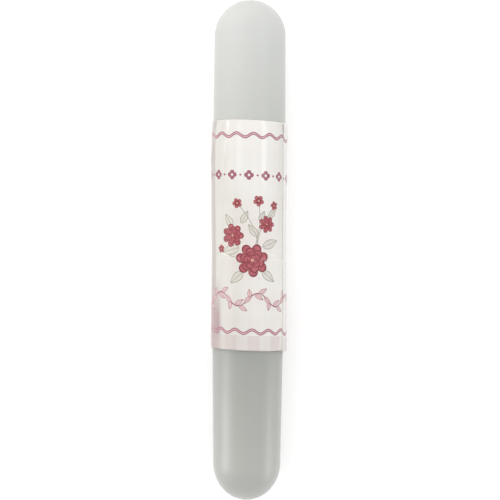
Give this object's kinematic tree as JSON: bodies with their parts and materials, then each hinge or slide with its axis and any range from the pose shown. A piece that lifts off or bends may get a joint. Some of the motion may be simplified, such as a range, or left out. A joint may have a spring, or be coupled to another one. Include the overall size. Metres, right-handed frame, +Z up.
{
  "type": "toothbrush holder",
  "caption": "Round-ended frosted plastic travel tube for a toothbrush: the cap plugs over the lower tube's neck, and a printed sleeve band is wrapped round the joint.",
  "frame": {"origin": "bottom centre of the lying holder, on the ground under its middle", "axes": "+Y along the tubes towards the cap, +Z up through the front of the band, +X to the right of the band seen from above with the cap away from the viewer"},
  "size_m": [0.0302, 0.1998, 0.0301],
  "materials": {
    "lower_plastic": "satin",
    "cap_plastic": "satin",
    "printed_film": "gloss"
  },
  "bodies": {
    "tube": {"lower_tube": "lower_plastic"},
    "cap": {"cap_tube": "cap_plastic"},
    "band": {"label_band": "printed_film"}
  },
  "joints": [
    {"name": "cap_pull", "type": "slide", "parent": "tube", "child": "cap", "axis": [0, 1, 0], "range_m": [0, 0.13]},
    {"name": "band_slide", "type": "slide", "parent": "tube", "child": "band", "axis": [0, 1, 0], "range_m": [-0.165, 0.155]}
  ]
}
